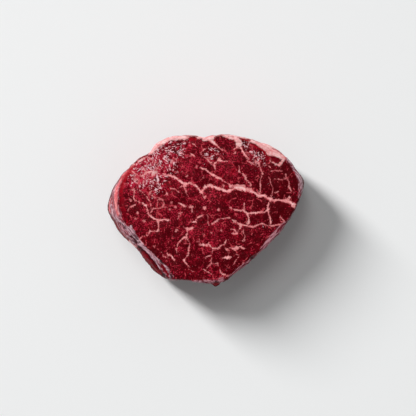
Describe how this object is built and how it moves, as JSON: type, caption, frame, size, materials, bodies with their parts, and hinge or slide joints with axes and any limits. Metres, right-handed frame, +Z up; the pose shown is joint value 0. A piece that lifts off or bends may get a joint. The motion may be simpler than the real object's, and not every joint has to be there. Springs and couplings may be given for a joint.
{
  "type": "raw beef tenderloin steak",
  "caption": "Thick raw beef tenderloin steak with a marbled upper cut face, a fat edge and a silvery membrane along one side, lying flat.",
  "frame": {"origin": "middle of the steak's outline in plan, on the surface that it rests on", "axes": "+Z up out of the upper cut face, +X towards the narrow end of the slice, +Y towards the thick fat edge"},
  "size_m": [0.0898, 0.0692, 0.0359],
  "materials": {
    "raw_beef": "moist raw meat, satin with small wet glints"
  },
  "bodies": {
    "root": {"tenderloin_steak": "raw_beef"}
  },
  "joints": []
}
